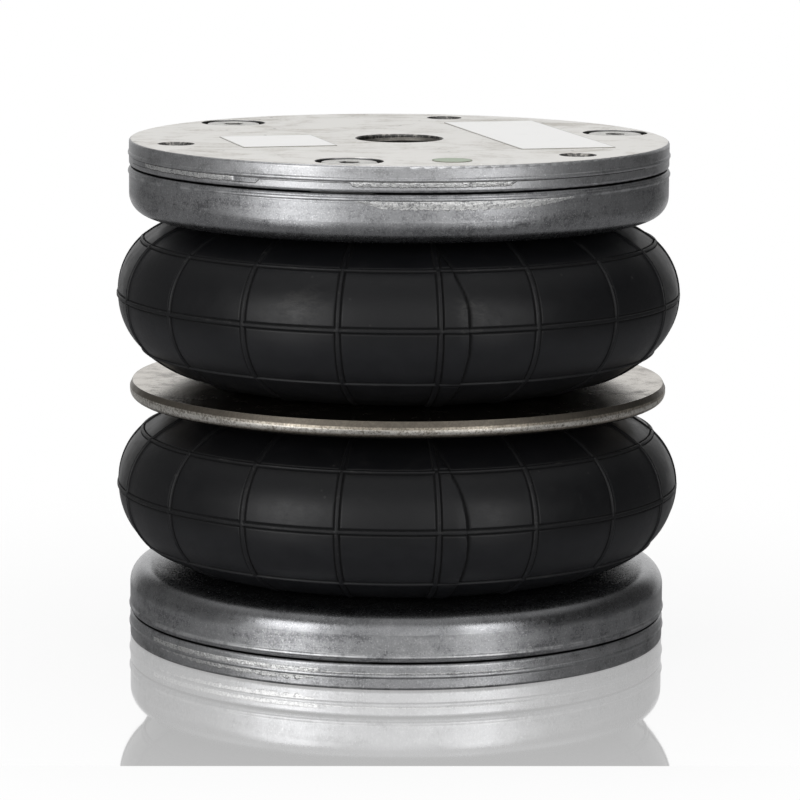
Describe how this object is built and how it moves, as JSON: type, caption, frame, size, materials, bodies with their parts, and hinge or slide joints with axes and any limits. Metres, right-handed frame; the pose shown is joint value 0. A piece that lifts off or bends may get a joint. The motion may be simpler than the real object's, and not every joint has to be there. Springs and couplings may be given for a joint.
{
  "type": "air bellows actuator",
  "caption": "Round air bellows actuator: ribbed rubber convolutions with a girdle ring, clamped between bolted cast aluminium end plates with a threaded air port.",
  "frame": {"origin": "middle of the bottom plate's mounting face", "axes": "+Z along the bellows' axis, from the bottom plate to the air port; -Y is the side that the picture shows"},
  "size_m": [0.1594, 0.1592, 0.1418],
  "materials": {
    "cast_aluminium": "shot blasted casting",
    "black_rubber": "moulded",
    "cord_ply": "rubberised cord",
    "girdle_steel": "turned",
    "bead_wire": "brass plated",
    "plated_screw": "zinc plated",
    "white_label": "blank film",
    "green_dot": "film"
  },
  "bodies": {
    "base": {"bottom_plate": "cast_aluminium", "bottom_clamp_ring": "cast_aluminium", "bottom_clamp_screws": "plated_screw", "bottom_bead": "black_rubber", "bottom_bead_wire": "bead_wire"},
    "lower_convolution": {"lower_cover": "black_rubber", "lower_outer_ply": "cord_ply", "lower_inner_ply": "cord_ply", "lower_liner": "black_rubber"},
    "girdle": {"girdle_ring": "girdle_steel", "waist_band": "black_rubber"},
    "upper_convolution": {"upper_cover": "black_rubber", "upper_outer_ply": "cord_ply", "upper_inner_ply": "cord_ply", "upper_liner": "black_rubber"},
    "top": {"top_plate": "cast_aluminium", "top_clamp_ring": "cast_aluminium", "top_clamp_screws": "plated_screw", "top_bead": "black_rubber", "top_bead_wire": "bead_wire", "large_label": "white_label", "small_label": "white_label", "inspection_dot": "green_dot"}
  },
  "joints": [
    {"name": "lower_convolution_slide", "type": "slide", "parent": "base", "child": "lower_convolution", "axis": [0, 0, 1], "range_m": [-0.013, 0.012], "stiffness_N_per_m": 16000, "deforming": ["lower_cover", "lower_outer_ply", "lower_inner_ply", "lower_liner"]},
    {"name": "girdle_slide", "type": "slide", "parent": "lower_convolution", "child": "girdle", "axis": [0, 0, 1], "range_m": [-0.013, 0.012], "stiffness_N_per_m": 16000},
    {"name": "upper_convolution_slide", "type": "slide", "parent": "girdle", "child": "upper_convolution", "axis": [0, 0, 1], "range_m": [-0.013, 0.012], "stiffness_N_per_m": 16000, "deforming": ["upper_cover", "upper_outer_ply", "upper_inner_ply", "upper_liner"]},
    {"name": "top_slide", "type": "slide", "parent": "upper_convolution", "child": "top", "axis": [0, 0, 1], "range_m": [-0.013, 0.012], "stiffness_N_per_m": 16000}
  ],
  "couplings": [
    {"joint": "girdle_slide", "follows": "lower_convolution_slide", "ratio": 1},
    {"joint": "upper_convolution_slide", "follows": "lower_convolution_slide", "ratio": 1},
    {"joint": "top_slide", "follows": "lower_convolution_slide", "ratio": 1}
  ]
}
